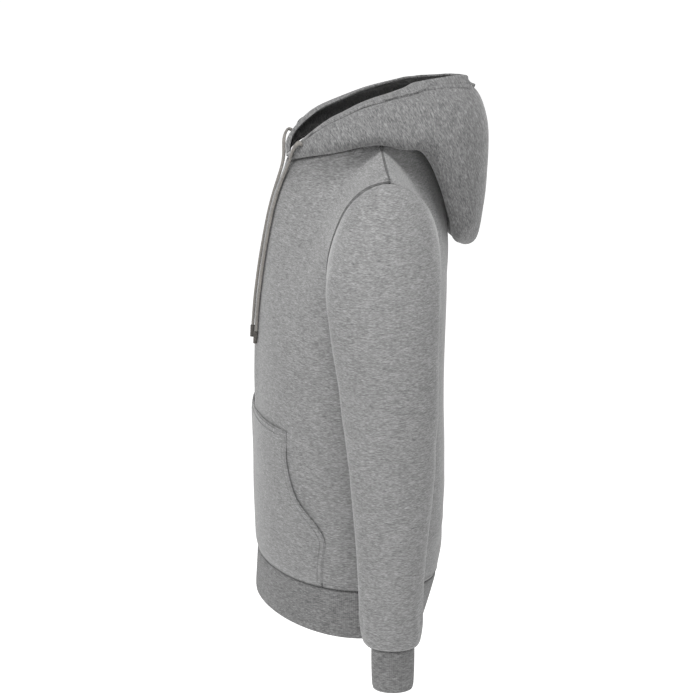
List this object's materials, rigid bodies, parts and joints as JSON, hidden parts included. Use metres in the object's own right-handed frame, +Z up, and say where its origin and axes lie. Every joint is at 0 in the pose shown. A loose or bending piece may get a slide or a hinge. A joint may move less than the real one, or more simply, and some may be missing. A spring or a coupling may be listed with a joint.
{
  "type": "pullover hoodie",
  "caption": "Pullover hoodie, filled out as worn, with the hood lying back, a front hand pocket, ribbed hem and cuffs and free drawcords.",
  "frame": {"origin": "middle of the neck opening, level with the tops of the shoulder seams, where the wearer holds the garment up", "axes": "+Z up, the front faces -Y, +X is the wearer's left"},
  "size_m": [0.636, 0.3409, 0.8151],
  "materials": {
    "body_fleece": "heather grey brushed fleece knit, matt",
    "hood_fleece": "heather grey brushed fleece knit with steep streaks, matt",
    "rib": "heather grey rib knit, matt",
    "cord": "flat woven cotton cord, warm grey",
    "cord_tip": "tightly bound cord end, dark warm grey"
  },
  "bodies": {
    "root": {"front": "body_fleece", "back": "body_fleece", "sleeve_left": "body_fleece", "sleeve_right": "body_fleece", "pocket": "body_fleece", "hood_left": "hood_fleece", "hood_right": "hood_fleece", "hem_band": "rib", "cuff_left": "rib", "cuff_right": "rib", "cord_left": "cord", "cord_right": "cord", "cord_tip_left": "cord_tip", "cord_tip_right": "cord_tip"}
  },
  "joints": []
}
